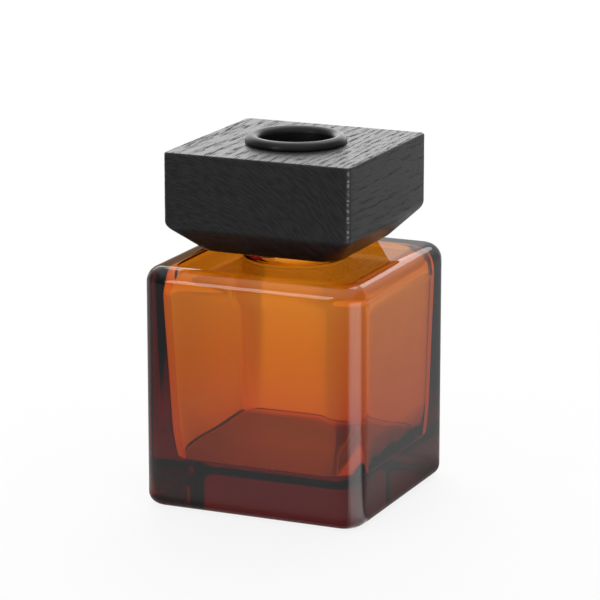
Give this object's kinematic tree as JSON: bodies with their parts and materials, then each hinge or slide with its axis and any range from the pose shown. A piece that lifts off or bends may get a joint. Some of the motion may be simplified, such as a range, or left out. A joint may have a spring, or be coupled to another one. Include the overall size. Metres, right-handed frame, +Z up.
{
  "type": "aftershave bottle",
  "caption": "Square thick-based amber glass bottle with a threaded neck, orifice plug and a chamfered black wooden screw cap with a ringed through hole.",
  "frame": {"origin": "centre of the face the bottle stands on", "axes": "+Z up along the neck and the cap's screw axis; X and Y along the bottle's square sides"},
  "size_m": [0.06, 0.06, 0.0934],
  "materials": {
    "amber_glass": "polished, clear amber",
    "natural_polythene": "natural, slightly translucent",
    "pale_foam": "matt",
    "matt_black_plastic": "matt",
    "black_stained_wood": "black stain on open grain, matt",
    "black_plastic": "satin"
  },
  "bodies": {
    "bottle": {"glass_bottle": "amber_glass", "orifice_plug": "natural_polythene"},
    "seal": {"seal_washer": "pale_foam"},
    "cap": {"thread_insert": "matt_black_plastic", "wood_cap": "black_stained_wood", "hole_ring": "black_plastic"}
  },
  "joints": [
    {"name": "cap_lift", "type": "slide", "parent": "bottle", "child": "seal", "axis": [0, 0, 1], "range_m": [0, 0.0053]},
    {"name": "cap_turn", "type": "hinge", "parent": "seal", "child": "cap", "pos_m": [0, 0, 0.078], "axis": [0, 0, 1], "range_deg": [0, 450]}
  ],
  "couplings": [
    {"joint": "cap_lift", "follows": "cap_turn", "m_per_rad": 0.00067322}
  ]
}
